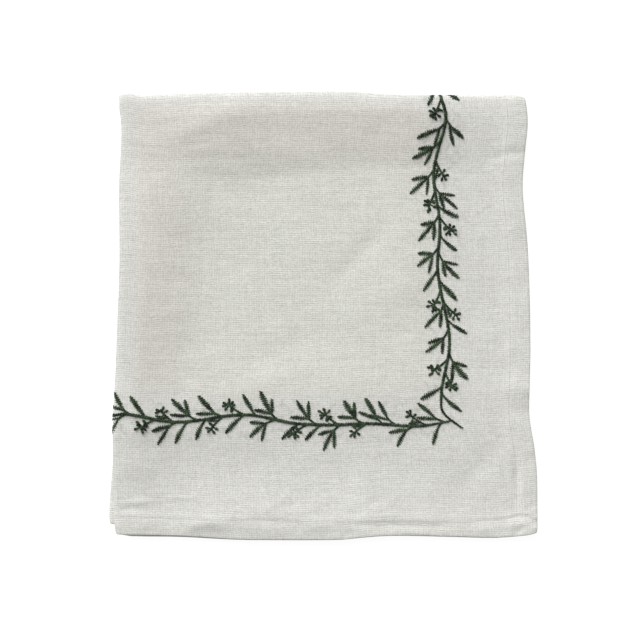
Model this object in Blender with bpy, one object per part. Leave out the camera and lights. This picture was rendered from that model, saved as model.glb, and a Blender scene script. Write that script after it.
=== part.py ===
"""A linen napkin folded in four, as one closed solid. Metres, +Z up.

The hemmed cloth is laid out flat as a thin slab. It is folded about its left crease and then about its top
crease, and last it is drawn to its own uneven outline and loft. Four layers then lie on each other, a bit
apart: the face quarter on top, its back quarter under it, and under these two the pair of quarters that
the top crease turns below them. The underside is flat at Z = 0, and the origin is under its middle.
"""

from math import cos, exp, hypot, pi, sin
from typing import NamedTuple

import bmesh
import bpy

MM = 0.001  # metres in a millimetre: all the sizes below are in millimetres

# Driving sizes.
WIDTH = 224.0  # folded napkin, between the straight lines that its left and right edges wander about
LENGTH = 240.0  # the same between its bottom and top edges
CLOTH = 1.0  # thickness of the sheet
GAP = 0.4  # air between two layers
HEM = 12.0  # width of the turned hem
HEM_RISE = 1.0  # how much higher the four hems stand than the plain layers
HEM_STEP = 3.0  # width of the slope from the plain layers up to the hems

# Worked out from them.
PITCH = CLOTH + GAP
LEFT_TURN = PITCH / 2  # radius of the sheet's middle in the left crease
LEFT_OUTER = LEFT_TURN + CLOTH / 2
LEFT_QUARTER = LEFT_TURN * pi / 2  # length of cloth in half of the left crease
TOP_TURN = PITCH  # radius of the middle of a pair of layers in the top crease
TOP_OUTER = TOP_TURN + LEFT_OUTER
TOP_QUARTER = TOP_TURN * pi / 2
STACK = 4 * CLOTH + 3 * GAP

# Grid lines of a quarter: their distances from a crease, and from a hemmed edge, with even cells between.
FROM_CREASE = (0.0, 3.0, 7.0, 12.0, 19.0, 29.0, 42.0)
FROM_EDGE = (17.0, 13.5, 10.5, 5.0, 0.0)
FIELD_CELLS = 7
TURN_CELLS = 6  # cells round each crease

# Columns: distance up from the bottom edge, how far the left crease stands out there.
LEFT_EDGE = (
    (0.0, -1.0),
    (8.0, 0.6),
    (30.0, 1.2),
    (60.0, 1.6),
    (90.0, 0.0),
    (117.0, -1.1),
    (148.0, -2.2),
    (190.0, -1.9),
    (218.0, -3.0),
    (232.0, -2.2),
    (LENGTH, -1.4),
)
# Columns: distance up from the bottom edge, how far the lower pair of layers stands out past the upper pair.
LOWER_PAIR_SHOWS = (
    (0.0, 3.2),
    (15.0, 2.9),
    (30.0, 1.4),
    (45.0, 0.0),
    (220.0, 0.0),
    (232.0, 0.9),
    (LENGTH, 0.0),
)
# Columns: distance up from the bottom edge, how far the right edge stands out.
RIGHT_EDGE = (
    (0.0, 3.8),
    (33.0, 3.5),
    (47.0, 2.2),
    (65.0, -0.5),
    (100.0, 0.0),
    (134.0, -0.5),
    (160.0, -1.6),
    (190.0, -4.2),
    (212.0, -2.7),
    (225.0, -1.6),
    (LENGTH, -3.4),
)
# Columns: distance from the left crease, how far the top crease stands out.
TOP_EDGE = (
    (0.0, 0.3),
    (5.0, 0.5),
    (13.0, -0.8),
    (35.0, 0.0),
    (57.0, 0.5),
    (90.0, 1.1),
    (125.0, 1.1),
    (150.0, -0.3),
    (185.0, -0.8),
    (218.0, -0.8),
    (WIDTH, -2.0),
)
# Columns: distance from the left crease, how far the bottom edge stands out.
BOTTOM_EDGE = (
    (0.0, -1.6),
    (14.0, -1.1),
    (35.0, -0.5),
    (57.0, 0.5),
    (70.0, 1.1),
    (120.0, 1.1),
    (131.0, 0.0),
    (148.0, -1.1),
    (180.0, -0.5),
    (203.0, 0.0),
    (217.0, -1.1),
    (WIDTH, -2.2),
)


class Quarter(NamedTuple):
    """How far a layer's hems are drawn in from the face quarter's at the corners farthest from a crease."""

    right: float  # its right hem, at the bottom
    bottom_left: float  # its bottom hem, at the left crease
    bottom_right: float  # its bottom hem, at the right


# Keyed by whether the layer is behind the left crease, and whether it is below the top crease.
QUARTERS = {
    (False, False): Quarter(right=0.0, bottom_left=0.0, bottom_right=0.0),
    (True, False): Quarter(right=1.5, bottom_left=0.0, bottom_right=1.6),
    (True, True): Quarter(right=2.2, bottom_left=6.0, bottom_right=3.4),
    (False, True): Quarter(right=1.2, bottom_left=6.0, bottom_right=2.6),
}


class Ridge(NamedTuple):
    """The soft ridge beside a crease, where the turned layers push the cloth up."""

    height: float
    crest: float  # distance of its highest line from the crease


LEFT_RIDGE = Ridge(height=0.7, crest=8.0)
TOP_RIDGE = Ridge(height=0.9, crest=9.0)


class Swell(NamedTuple):
    """A broad low rise of the layers, placed by its distances from the left crease and the bottom edge."""

    across: float
    up: float
    radius: float
    height: float


SWELLS = (
    Swell(across=150.0, up=150.0, radius=60.0, height=0.5),
    Swell(across=70.0, up=80.0, radius=50.0, height=0.4),
    Swell(across=180.0, up=50.0, radius=34.0, height=0.3),
)


def value_at(rows, place):
    """Reads a table's second column at a place in its first, on a smooth curve through its rows."""
    place = min(max(place, rows[0][0]), rows[-1][0])
    last = len(rows) - 1
    here = max(i for i in range(last) if rows[i][0] <= place)
    (start, low), (end, high) = rows[here], rows[here + 1]
    span = end - start
    leaving = slope(rows, max(here - 1, 0), here + 1) * span
    arriving = slope(rows, here, min(here + 2, last)) * span
    t = (place - start) / span
    return (
        low * (1 + 2 * t) * (1 - t) ** 2
        + leaving * t * (1 - t) ** 2
        + high * t * t * (3 - 2 * t)
        - arriving * t * t * (1 - t)
    )


def slope(rows, first, second):
    """Slope of a table's second column between two of its rows."""
    return (rows[second][1] - rows[first][1]) / (rows[second][0] - rows[first][0])


def smooth_step(start, end, value):
    t = min(max((value - start) / (end - start), 0.0), 1.0)
    return t * t * (3 - 2 * t)


def quarter_lines(size):
    """Grid lines of one quarter, as distances from its crease, close together where the cloth bends."""
    field_start, field_end = FROM_CREASE[-1], size - FROM_EDGE[0]
    field = [field_start + (field_end - field_start) * i / FIELD_CELLS for i in range(1, FIELD_CELLS)]
    return [*FROM_CREASE, *field, *(size - step for step in FROM_EDGE)]


def cloth_lines(size, outer, quarter_turn):
    """Grid lines of the flat cloth along one direction, as signed distances from its crease line."""
    flat = [line - outer + quarter_turn for line in quarter_lines(size) if line > outer]
    turn = [quarter_turn * (2 * i / TURN_CELLS - 1) for i in range(TURN_CELLS + 1)]
    return [*(-line for line in reversed(flat)), *turn, *flat]


def lay_out_flat():
    """The flat cloth as a closed slab in millimetres, face up, with both creases crossing at its middle.

    The face quarter is the one at +X and -Y: the left crease runs along Y, and the top crease along X.
    """
    slab = bmesh.new()
    across_lines = cloth_lines(WIDTH, LEFT_OUTER, LEFT_QUARTER)
    along_lines = cloth_lines(LENGTH, TOP_OUTER, TOP_QUARTER)
    rows = [[slab.verts.new((a, b, -CLOTH / 2)) for a in across_lines] for b in along_lines]
    for low, high in zip(rows, rows[1:]):
        for i in range(len(low) - 1):
            slab.faces.new((low[i], low[i + 1], high[i + 1], high[i]))
    upper = bmesh.ops.extrude_face_region(slab, geom=slab.faces[:], use_keep_orig=True)["geom"]
    upper = [part for part in upper if isinstance(part, bmesh.types.BMVert)]
    bmesh.ops.translate(slab, vec=(0, 0, CLOTH), verts=upper)
    bmesh.ops.recalc_face_normals(slab, faces=slab.faces[:])
    return slab


def turn(place, quarter_turn, radius, outer):
    """Bends a line of cloth back on itself. Returns its distance from the crease's outside, and height."""
    if abs(place) < quarter_turn:
        angle = place / quarter_turn * pi / 2
        return outer - radius * cos(angle), radius * sin(angle)
    return abs(place) - quarter_turn + outer, radius if place > 0 else -radius


def fold(across, along, lift):
    """Folds a point of the flat cloth. Returns its distances from the two creases, and its height."""
    from_left, pair_lift = turn(across, LEFT_QUARTER, LEFT_TURN + lift, LEFT_OUTER)
    from_top, height = turn(-along, TOP_QUARTER, TOP_TURN + pair_lift, TOP_OUTER)
    return from_left, from_top, STACK / 2 + height


def draw_to_outline(from_left, up, quarter, below):
    """Draws a point to its own layer's outline. A layer's hems come in only as it leaves its creases."""
    share_across, share_up = from_left / WIDTH, up / LENGTH
    left = -value_at(LEFT_EDGE, up) - (value_at(LOWER_PAIR_SHOWS, up) if below else 0.0)
    right = WIDTH + value_at(RIGHT_EDGE, up) - quarter.right * (1 - share_up)
    drawn_up = quarter.bottom_left + (quarter.bottom_right - quarter.bottom_left) * share_across
    bottom = drawn_up - value_at(BOTTOM_EDGE, from_left)
    top = LENGTH + value_at(TOP_EDGE, from_left)
    return left + (right - left) * share_across, bottom + (top - bottom) * share_up


def ridge_at(ridge, distance):
    """Height of a crease's ridge: nothing at the crease, full at its crest, and dying away beyond."""
    share = distance / ridge.crest
    return ridge.height * share * exp(1 - share)


def swell_at(swell, across, up):
    share = hypot(across - swell.across, up - swell.up) / swell.radius
    return swell.height * exp(-share * share)


def loft(from_left, up):
    """How much higher the top of the napkin lies than its four plain layers."""
    from_hem = min(WIDTH - from_left, up)
    hems = HEM_RISE * smooth_step(HEM + HEM_STEP, HEM, from_hem)
    ridges = ridge_at(LEFT_RIDGE, from_left) + ridge_at(TOP_RIDGE, LENGTH - up)
    return hems + ridges + sum(swell_at(swell, from_left, up) for swell in SWELLS)


def lay(across, along, lift):
    """Where a point of the flat cloth lies in the folded napkin, in millimetres."""
    from_left, from_top, height = fold(across, along, lift)
    up = LENGTH - from_top
    below = along > 0
    x, y = draw_to_outline(from_left, up, QUARTERS[across < 0, below], below)
    return x, y, height * (1 + loft(from_left, up) / STACK)


def centre(slab):
    """Puts the middle of the napkin's box over the origin and its underside at Z = 0."""
    for axis in range(3):
        places = [v.co[axis] for v in slab.verts]
        middle = min(places) if axis == 2 else (min(places) + max(places)) / 2
        for vertex in slab.verts:
            vertex.co[axis] -= middle


def linen():
    """Washed white linen."""
    material = bpy.data.materials.new("linen")
    material.use_nodes = True
    shader = material.node_tree.nodes["Principled BSDF"]
    shader.inputs["Base Color"].default_value = (0.66, 0.65, 0.60, 1.0)
    shader.inputs["Roughness"].default_value = 0.9
    shader.inputs["Metallic"].default_value = 0.0
    return material


def make_napkin():
    slab = lay_out_flat()
    for vertex in slab.verts:
        vertex.co = lay(*vertex.co)
    centre(slab)
    bmesh.ops.scale(slab, vec=(MM, MM, MM), verts=slab.verts[:])
    mesh = bpy.data.meshes.new("napkin")
    slab.to_mesh(mesh)
    slab.free()
    mesh.materials.append(linen())
    napkin = bpy.data.objects.new("napkin", mesh)
    bpy.context.scene.collection.objects.link(napkin)
    return napkin


for left_over in list(bpy.data.objects):
    bpy.data.objects.remove(left_over, do_unlink=True)
make_napkin()
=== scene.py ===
"""A white linen napkin folded in four, with a border of leafy sprigs and berries embroidered in green.

The cloth is worked out flat, in millimetres, with its face up and its two creases crossing in the middle. The
face quarter is the one right of the left crease and below the top crease. Everything on the cloth, such as
the embroidery and the hem's stitches, is laid on the flat cloth too, and then folded with it.
"""

from __future__ import annotations

import logging
import math
from dataclasses import dataclass, field
from enum import Enum
from functools import partial
from typing import Any, Callable, Iterator, Mapping, NamedTuple, Sequence

import bpy
import numpy as np
from bpy.types import ID, Material, Mesh, Node, NodeSocket, NodeTree, Object
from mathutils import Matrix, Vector

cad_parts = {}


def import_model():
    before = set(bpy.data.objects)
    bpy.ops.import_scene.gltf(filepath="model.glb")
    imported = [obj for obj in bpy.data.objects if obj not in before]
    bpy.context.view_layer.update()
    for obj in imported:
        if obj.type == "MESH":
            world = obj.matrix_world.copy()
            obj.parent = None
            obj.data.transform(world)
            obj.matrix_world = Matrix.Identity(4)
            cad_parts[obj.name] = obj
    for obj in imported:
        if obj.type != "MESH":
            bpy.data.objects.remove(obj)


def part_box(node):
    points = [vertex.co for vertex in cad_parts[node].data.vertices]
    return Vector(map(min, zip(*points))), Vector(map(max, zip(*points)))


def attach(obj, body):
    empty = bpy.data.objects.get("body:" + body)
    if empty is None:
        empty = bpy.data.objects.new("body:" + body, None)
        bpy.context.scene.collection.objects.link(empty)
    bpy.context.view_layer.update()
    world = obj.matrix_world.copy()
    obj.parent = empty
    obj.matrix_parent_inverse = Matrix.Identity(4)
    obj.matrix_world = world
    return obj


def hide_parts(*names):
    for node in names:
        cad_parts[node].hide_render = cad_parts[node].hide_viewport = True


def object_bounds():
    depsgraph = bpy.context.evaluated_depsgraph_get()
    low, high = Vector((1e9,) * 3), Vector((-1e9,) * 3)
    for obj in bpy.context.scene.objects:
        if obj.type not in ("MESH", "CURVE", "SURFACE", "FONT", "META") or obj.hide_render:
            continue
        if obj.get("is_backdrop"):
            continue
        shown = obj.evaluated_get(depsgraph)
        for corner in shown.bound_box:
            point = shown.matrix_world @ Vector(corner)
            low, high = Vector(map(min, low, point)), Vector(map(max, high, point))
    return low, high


LOG = logging.getLogger("napkin")
MM = 0.001  # metres in a millimetre
FLAT_MAP = "flat_cloth"  # the cloth's UV map: places on the flat cloth, in metres
MATH, MIX, NOISE, RANGE = "ShaderNodeMath", "ShaderNodeMix", "ShaderNodeTexNoise", "ShaderNodeMapRange"
NOISE_SPREAD = {1: 0.38, 2: 0.62}  # a noise texture's values lie mostly between these
Places = np.ndarray
NodeAdder = Callable[..., Node]  # add_node for one tree


def srgb(code: str) -> tuple[float, float, float, float]:
    """Turns a colour as it shows on a screen into the linear one that shaders take.

    Args:
        code: The colour as #RRGGBB.

    Returns:
        Linear red, green and blue, and an alpha of 1.
    """
    shown = [int(code[i : i + 2], 16) / 255 for i in (1, 3, 5)]
    linear = [c / 12.92 if c <= 0.04045 else ((c + 0.055) / 1.055) ** 2.4 for c in shown]
    return (linear[0], linear[1], linear[2], 1.0)


def smooth_step(start: float, end: float, value: Places) -> Places:
    """Rises softly from 0 at start to 1 at end."""
    share = np.clip((value - start) / (end - start), 0.0, 1.0)
    return share * share * (3 - 2 * share)


def add_node(tree: NodeTree, kind: str, inputs: Mapping[Any, Any] | None = None, **settings: Any) -> Node:
    """Adds a node to a tree, with its settings and what goes into it.

    Args:
        tree: The node tree, of a material or of Geometry Nodes.
        kind: The node's Blender type.
        inputs: Input name or number to a plain value, or to the socket or the node that feeds it.
        settings: The node's own properties.

    Returns:
        The new node.
    """
    node = tree.nodes.new(kind)
    for name, value in settings.items():
        setattr(node, name, value)
    for key, value in (inputs or {}).items():
        if isinstance(value, Node):
            value = value.outputs[0]
        if isinstance(value, NodeSocket):
            tree.links.new(value, node.inputs[key])
        else:
            node.inputs[key].default_value = value
    return node


# ---------------------------------------------------------------- shape of the folded cloth


@dataclass(frozen=True)
class Wander:
    """An uneven line: offsets at places along it, in millimetres or as shares, smoothly joined."""

    rows: tuple[tuple[float, float], ...]

    def at(self, place: Places) -> Places:
        """Reads the line.

        Args:
            place: Places along the line.

        Returns:
            The offset at each place.
        """
        places, offsets = np.array(self.rows).T
        before = np.maximum(np.arange(len(places)) - 1, 0)
        after = np.minimum(np.arange(len(places)) + 1, len(places) - 1)
        slopes = (offsets[after] - offsets[before]) / (places[after] - places[before])
        place = np.clip(place, places[0], places[-1])
        here = np.clip(np.searchsorted(places, place, side="right") - 1, 0, len(places) - 2)
        span = places[here + 1] - places[here]
        t = (place - places[here]) / span
        return (
            offsets[here] * (1 + 2 * t) * (1 - t) ** 2
            + slopes[here] * span * t * (1 - t) ** 2
            + offsets[here + 1] * t * t * (3 - 2 * t)
            - slopes[here + 1] * span * t * t * (1 - t)
        )


@dataclass(frozen=True)
class Unevenness:
    """Soft random hollows and rises over a surface, in millimetres."""

    across: float  # size of one hollow across
    up: float  # and upwards
    height: float
    seed: int
    lattice: int = 128

    def at(self, across: Places, up: Places) -> Places:
        """Reads the unevenness.

        Args:
            across: Places across the surface.
            up: Places up it.

        Returns:
            Heights, from minus to plus the unevenness's own.
        """
        heights = np.random.default_rng(self.seed).uniform(-1, 1, (self.lattice, self.lattice))
        column, row = np.floor(across / self.across), np.floor(up / self.up)
        s = smooth_step(0.0, 1.0, across / self.across - column)
        t = smooth_step(0.0, 1.0, up / self.up - row)
        i, j = column.astype(int) % self.lattice, row.astype(int) % self.lattice
        i_next, j_next = (i + 1) % self.lattice, (j + 1) % self.lattice
        low = heights[i, j] * (1 - s) + heights[i_next, j] * s
        high = heights[i, j_next] * (1 - s) + heights[i_next, j_next] * s
        return self.height * (low * (1 - t) + high * t)


class Quarter(NamedTuple):
    """How far a layer's hems are drawn in from the face quarter's."""

    right: float  # at the corner farthest from the creases
    bottom: Wander  # from the left crease to the right edge


@dataclass(frozen=True)
class Roll:
    """The soft roll beside a crease, where the turned layers hold the cloth up, in millimetres."""

    section: Wander  # its height as a share, by the distance from the crease in crest distances
    height: Wander  # its height, along the crease
    crest: Wander  # how far its crest lies from the crease, along the crease

    def at(self, distance: Places, place: Places) -> Places:
        """How high the roll stands, by the distance from the crease and the place along it."""
        return self.height.at(place) * self.section.at(distance / self.crest.at(place))


class Swell(NamedTuple):
    """A broad low rise, placed by its distances from the left crease and the bottom edge."""

    across: float
    up: float
    radius: float
    height: float


class Seam(NamedTuple):
    """How a hem's seam draws the cloth down: steeply on the field's side, and slowly rising over the hem."""

    depth: Wander  # along the seam, as a share of the napkin's relief
    width: Wander  # of the steep side
    recovery: float  # width of the slow side
    gathered: float  # how much it puckers the cloth, as a share

    def at(self, beyond: Places, place: Places) -> Places:
        """Reads how far the cloth is drawn down.

        Args:
            beyond: Distances from the seam into the field.
            place: Places along the seam.

        Returns:
            Depths, as shares of the napkin's relief.
        """
        steep = smooth_step(0.0, 1.0, 1 - beyond / self.width.at(place))
        slow = smooth_step(-self.recovery, 0.0, beyond)
        return self.depth.at(place) * np.where(beyond > 0, steep, slow)


class CornerPull(NamedTuple):
    """A corner of the folded napkin that is drawn in, so that it is blunt."""

    across: float  # the corner, from the left crease and the bottom edge
    up: float
    radius: float
    pull_across: float
    pull_up: float


@dataclass(frozen=True)
class Wrinkle:
    """A soft trough or ridge along a bowed line on the face quarter, in millimetres."""

    start: tuple[float, float]  # from the left crease, and up from the bottom edge
    middle: tuple[float, float]  # the bow's control point
    end: tuple[float, float]
    height: float  # as a share of the napkin's relief, and below zero for a trough
    width: float
    steps: int = 12  # straight parts that stand for the bowed line
    least: float = 0.02  # the share of the line, at its ends, past which it fades no further
    fade: float = 0.7  # below 1, the height holds on towards the ends

    def at(self, across: Places, up: Places) -> Places:
        """Reads the wrinkle.

        Args:
            across: Distances from the left crease.
            up: Distances up from the bottom edge.

        Returns:
            Heights to add, which die away to the wrinkle's sides and ends.
        """
        t = np.linspace(0, 1, self.steps + 1)[:, None]
        a, b, c = (np.array(p) for p in (self.start, self.middle, self.end))
        line = a * (1 - t) ** 2 + 2 * b * t * (1 - t) + c * t * t
        reach = 3 * self.width  # beyond it, the wrinkle has died away
        low, high = line.min(axis=0) - reach, line.max(axis=0) + reach
        near = (across > low[0]) & (across < high[0]) & (up > low[1]) & (up < high[1])
        heights = np.zeros_like(across)
        point = np.stack([across[near], up[near]], axis=1)
        nearest = np.full(len(point), np.inf)
        share = np.zeros(len(point))
        for i in range(self.steps):
            run = line[i + 1] - line[i]
            along = np.clip((point - line[i]) @ run / (run @ run), 0, 1)
            gap = np.linalg.norm(point - line[i] - along[:, None] * run, axis=1)
            closer = gap < nearest
            nearest = np.where(closer, gap, nearest)
            share = np.where(closer, (i + along) / self.steps, share)
        ends = np.sin(math.pi * np.clip(share, self.least, 1 - self.least)) ** self.fade
        heights[near] = self.height * ends * np.exp(-((nearest / self.width) ** 2))
        return heights


WRINKLES: tuple[Wrinkle, ...] = tuple(
    Wrinkle(*row)
    for row in (
        # Broad rises and hollows beside the embroidery, which stiffens the cloth.
        ((22, 80), (100, 80), (168, 82), 0.75, 18), ((6, 58), (26, 60), (54, 60), 0.36, 12),
        ((0, 40), (90, 38), (176, 38), -0.38, 13), ((26, 14), (110, 13), (178, 13), 0.45, 11),
        ((154, 104), (152, 150), (154, 204), 0.26, 12),
        # Below the top roll.
        ((24, 213), (52, 226), (80, 236), 0.3, 5), ((58, 209), (88, 222), (116, 233), -0.16, 7),
        ((130, 212), (148, 222), (160, 232), -0.12, 6), ((84, 216), (102, 216), (120, 218), -0.2, 6),
        ((18, 203.5), (52, 204.5), (94, 203), -0.1, 2.2),
        # A long slanting crease over the field, and a second one below it.
        ((152, 174), (134, 154), (108, 128), -0.32, 5), ((168, 150), (146, 136), (122, 110), 0.16, 9),
        ((44, 66), (80, 86), (116, 106), 0.16, 9), ((60, 86), (90, 98), (118, 116), -0.16, 8),
        # Short ones out of the left roll.
        ((14, 166), (34, 162), (60, 150), -0.12, 3.6), ((16, 152), (40, 147), (70, 134), 0.12, 4.6),
        ((14, 141), (32, 137), (50, 134), -0.1, 3), ((16, 119), (40, 112), (64, 103), -0.11, 4.2),
        ((30, 188), (58, 182), (92, 186), -0.12, 5),
        # The lower part, towards the bottom hem.
        ((207, 56), (196, 38), (178, 20), -0.42, 7), ((1, 40), (12, 38), (26, 33), 0.42, 6.5),
        ((18, 58), (46, 55), (74, 58), 0.22, 7),
        # Fine drag lines that lean out of the bottom hem.
        ((5, 17), (13, 18.2), (22, 18.6), 0.22, 1.3), ((2, 13.5), (12, 14.6), (24, 14.2), -0.16, 1.5),
        ((29, 20.2), (37, 21.2), (46, 20.8), 0.2, 1.3), ((74, 13.5), (86, 19), (96, 27), 0.1, 1.8),
        ((84, 13), (96, 19), (105, 26), -0.08, 1.8), ((96, 13), (108, 18), (117, 25), 0.1, 2),
        ((128, 13), (136, 19), (150, 24), -0.16, 2.6),
        # Puckers in the bottom hem.
        ((36, 12), (62, 13), (88, 12), 0.2, 7), ((37, 4), (46, 9.6), (63, 8.6), 0.4, 3),
        ((38, 0.6), (50, 1.4), (66, 1), -0.22, 3), ((100, 7), (108, 9), (118, 8), 0.22, 3),
        ((94, 2.5), (97, 6), (99, 8.5), -0.14, 1.8), ((121, 1.5), (124, 3), (128, 3.6), -0.16, 1.8),
        ((133, 1), (135, 2.4), (138, 3.4), -0.12, 1.6), ((143, 1.8), (156, 2.6), (171, 1.8), 0.14, 2),
        ((190, 3), (199, 5.6), (206, 5), 0.16, 3.2), ((208, 5), (214, 7.4), (221, 6.4), 0.2, 2.4),
        ((213, 1.4), (215, 3.6), (218, 5.6), -0.18, 1.8), ((12, 3), (16, 6), (22, 8.5), 0.09, 1.8),
        ((24, 2.5), (27, 5.5), (32, 8.5), -0.09, 1.8),
        # Waves in the right hem, where its edge goes in and out.
        ((232, 208), (219, 209.5), (204, 206), -0.4, 2.2), ((202, 196), (208, 190), (216, 182), -0.16, 3),
        ((232, 150), (226, 158), (221, 168), -0.22, 2.4), ((222, 134), (221, 126), (224, 116), 0.2, 2),
        ((233, 76), (222, 79), (209, 84), 0.42, 5), ((232, 66), (222, 67), (208, 70), -0.35, 4.5),
        ((214, 46), (213.5, 32), (214, 17), -0.42, 1.8), ((231, 42), (224, 41), (217, 43), -0.2, 2),
        ((229, 16), (222, 26), (219, 38), 0.26, 4.2),
        # The corner, where one hem crosses the other.
        ((224, 17), (220, 14.5), (216, 13), -0.12, 1.2), ((228, 3.6), (223, 3.4), (217, 3.2), 0.12, 1.6),
    )
)


@dataclass
class FoldedShape:
    """Where each point of the flat cloth lies once the napkin is folded, in millimetres until it is laid."""

    width: float = 224.0  # folded, between the lines that the side edges wander about
    length: float = 240.0
    sheet: float = 0.6  # thickness of plain cloth
    hem_face: float = 0.12  # how far the hem's turned plies lift its right side
    hem_back: float = 0.45  # and its wrong side, where they lie
    hem: float = 12.0
    pitch: float = 1.4  # from one layer's middle to the next
    clearance: float = 1.25  # under the lowest layer, where its embroidery lies
    hem_rise: float = 0.9  # how much higher four stacked hems stand
    hem_slope: float = 16.0  # the four hems end at slightly different places, so the rise is a slope
    relief_height: float = 1.8  # of which the rolls', wrinkles' and grooves' own heights are shares
    centre: tuple[float, float] = (0.0, 0.0)  # of the folded outline, once it is measured
    middle: tuple[float, float] = (0.0, 0.0)  # of the frame's box
    floor: float = 0.0
    nose: float = 0.6  # how far the hemmed edge's round goes in
    nose_least: float = 0.12  # of the thickness, at the very edge
    hem_end_face: float = 1.8  # width of the step where the turned plies end, on the right side
    hem_end_back: float = 0.7  # and on the wrong side
    pucker_reach: float = 7.0  # how far from a seam the puckers go
    pucker_slant: float = 0.5  # how much they lean
    wrinkled: tuple[float, float] = (0.74, 0.9)  # shares of the height between which wrinkles set in
    survey: int = 301  # points each way that the outline is measured at
    left_edge: Wander = Wander((
        (0, 0), (8, 0.7), (30, 1.2), (60, 1.6), (90, 0), (117, -1.1), (148, -2.2), (190, -1.9), (218, -3),
        (232, -2.2), (240, -1.4),
    ))
    lower_pair_shows: Wander = Wander((
        (0, 3.9), (8, 3.2), (16, 2.6), (30, 1.3), (45, 0), (220, 0), (232, 0.9), (240, 0),
    ))
    right_edge: Wander = Wander((
        (0, 3.8), (33, 3.5), (47, 2.2), (65, -0.5), (100, 0), (134, -0.5), (160, -1.6), (190, -4.2),
        (212, -2.7), (225, -1.6), (240, -2.6),
    ))
    top_edge: Wander = Wander((
        (0, 0.3), (5, 0.5), (13, -0.8), (35, 0), (57, 0.5), (90, 1.1), (125, 1.1), (150, -0.3),
        (185, -0.8), (218, -0.8), (224, -1.5),
    ))
    bottom_edge: Wander = Wander((
        (0, -1.6), (14, -1.4), (35, -0.9), (57, 0.5), (70, 1.1), (120, 1.1), (131, 0), (148, -1.1),
        (180, -0.5), (203, 0), (217, -1.1), (224, -2.2),
    ))
    # By whether a layer lies behind the left crease, and whether it lies below the top crease.
    quarters: Mapping[tuple[bool, bool], Quarter] = field(
        default_factory=lambda: {
            (False, False): Quarter(0.0, Wander(((0, 0), (224, 0)))),
            (True, False): Quarter(
                1.5, Wander(((0, 0), (7, -0.9), (34, -0.8), (62, -0.5), (90, -0.4), (224, -0.4)))
            ),
            (True, True): Quarter(2.2, Wander(((0, 5.2), (224, 3.4)))),
            (False, True): Quarter(1.2, Wander(((0, 5.2), (224, 2.6)))),
        }
    )
    left_roll: Roll = Roll(
        Wander((
            (0, 0.82), (0.25, 0.93), (0.7, 0.99), (1, 1), (1.25, 0.95), (3.2, 0.18), (4, 0.05), (5, 0),
        )),
        Wander((
            (0, 0.3), (25, 0.55), (45, 1.2), (80, 1.8), (110, 2.3), (150, 2.4), (185, 2), (205, 1.2),
            (240, 0.5),
        )),
        Wander(((0, 9.5), (90, 11), (150, 13.5), (200, 16), (240, 17))),
    )
    top_roll: Roll = Roll(
        Wander((
            (0, 0.62), (0.3, 0.79), (0.8, 0.97), (1, 1), (1.25, 0.96), (2, 0.76), (2.8, 0.47), (3.7, 0.07),
            (4, 0.01), (4.3, 0),
        )),
        Wander((
            (0, 0.6), (15, 1.2), (35, 2.1), (60, 2.7), (90, 2.5), (120, 2.2), (150, 2.1), (175, 1.7),
            (195, 1.1), (224, 0.8),
        )),
        Wander(((0, 12.5), (60, 12.5), (110, 11.2), (160, 10.2), (224, 11))),
    )
    swells: tuple[Swell, ...] = (
        Swell(150.0, 150.0, 60.0, 0.4), Swell(60.0, 70.0, 44.0, 0.3), Swell(180.0, 60.0, 34.0, 0.3),
    )
    corner_pulls: tuple[CornerPull, ...] = (
        CornerPull(0.0, 240.0, 2.5, 0.3, -0.6), CornerPull(224.0, 240.0, 2.5, -0.6, -0.6),
        CornerPull(224.0, 0.0, 2.0, -0.5, 0.5), CornerPull(0.0, 0.0, 2.0, 0.4, 0.3),
    )
    # The bottom hem's seam, up from the edge. It has crept where the hem was sewn unevenly.
    bottom_seam: Wander = Wander((
        (0, 10.6), (40, 9.6), (62, 10.6), (70, 11.1), (80, 10.9), (94, 10), (104, 10.4), (117, 10.2),
        (125, 8.8), (134, 7.2), (141, 6.5), (162, 6.1), (170, 5.8), (177, 7.6), (186, 8), (194, 9.5),
        (205, 10), (213, 11.1), (219, 10.3), (223, 7.4), (228, 6.3),
    ))
    bottom_draw: Seam = Seam(
        Wander((
            (0, 0), (38, 0), (44, 0.1), (62, 0.1), (68, 0.06), (76, 0.2), (94, 0.18), (102, 0.05),
            (117, 0.04), (126, 0.08), (136, 0.3), (168, 0.28), (176, 0.12), (188, 0.1), (196, 0.2),
            (220, 0.26), (228, 0.24),
        )),
        Wander(((0, 1), (128, 1), (136, 2.4), (168, 2.4), (178, 1.1), (228, 1))),
        recovery=5.0,
        gathered=1.0,
    )
    side_draw: Seam = Seam(
        Wander(((0, 0.1), (46, 0.08), (60, 0.03), (240, 0.03))),
        Wander(((0, 1.4), (240, 1.2))),
        recovery=4.0,
        gathered=0.4,
    )
    puckers: tuple[Unevenness, ...] = (Unevenness(4.6, 6.0, 0.10, 11), Unevenness(10.0, 8.0, 0.13, 12))
    field_unevenness: tuple[Unevenness, ...] = (
        Unevenness(44.0, 30.0, 0.14, 21), Unevenness(17.0, 11.0, 0.05, 22),
    )

    def __post_init__(self) -> None:
        """Works out the creases' turns, which the sheet's thickness sets."""
        self.left_turn = self.pitch / 2
        self.left_outer = self.left_turn + self.sheet / 2
        self.left_quarter = self.left_turn * math.pi / 2
        self.top_turn = self.pitch
        self.top_outer = self.top_turn + self.left_outer
        self.top_quarter = self.top_turn * math.pi / 2
        self.stack = 2 * self.top_outer
        self.half_width = self.width - self.left_outer + self.left_quarter
        self.half_length = self.length - self.top_outer + self.top_quarter

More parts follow.
